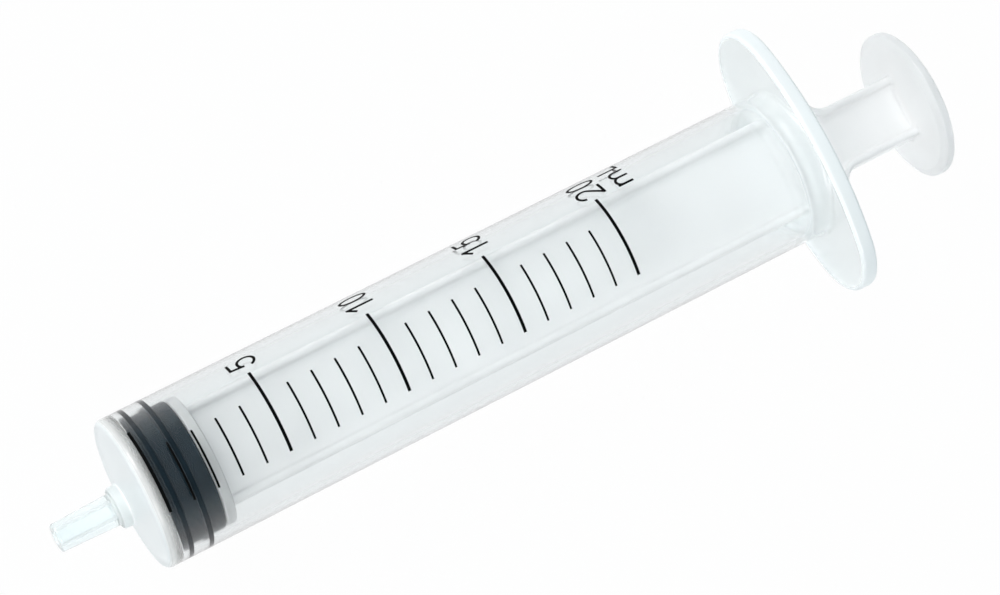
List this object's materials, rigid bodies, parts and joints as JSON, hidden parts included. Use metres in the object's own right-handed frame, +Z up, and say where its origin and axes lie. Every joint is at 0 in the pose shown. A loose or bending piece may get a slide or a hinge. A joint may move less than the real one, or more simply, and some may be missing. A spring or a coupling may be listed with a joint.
{
  "type": "luer syringe",
  "caption": "Clear slip-tip luer syringe with an off-centre tapered nozzle, oval finger flange, dark rubber gasket and a flat, two-railed plunger with a round thumb press.",
  "frame": {"origin": "under the middle of the syringe's overall length, on the surface that it lies on", "axes": "+X along the barrel from the nozzle towards the thumb press, +Y towards one ear of the flange, +Z up, towards the side that carries the scale"},
  "size_m": [0.131, 0.0394, 0.0223],
  "materials": {
    "barrel_plastic": "clear glossy polypropylene, faintly cool",
    "gasket_rubber": "smooth dark slate rubber",
    "plunger_plastic": "milky translucent polypropylene"
  },
  "bodies": {
    "barrel": {"barrel": "barrel_plastic"},
    "gasket": {"gasket": "gasket_rubber"},
    "plunger": {"plunger": "plunger_plastic"}
  },
  "joints": [
    {"name": "plunger_slide", "type": "slide", "parent": "barrel", "child": "gasket", "axis": [1, 0, 0], "range_m": [0, 0.0914]},
    {"name": "plunger_twist", "type": "hinge", "parent": "gasket", "child": "plunger", "pos_m": [0, 0, 0.01117], "axis": [1, 0, 0], "continuous": true}
  ]
}
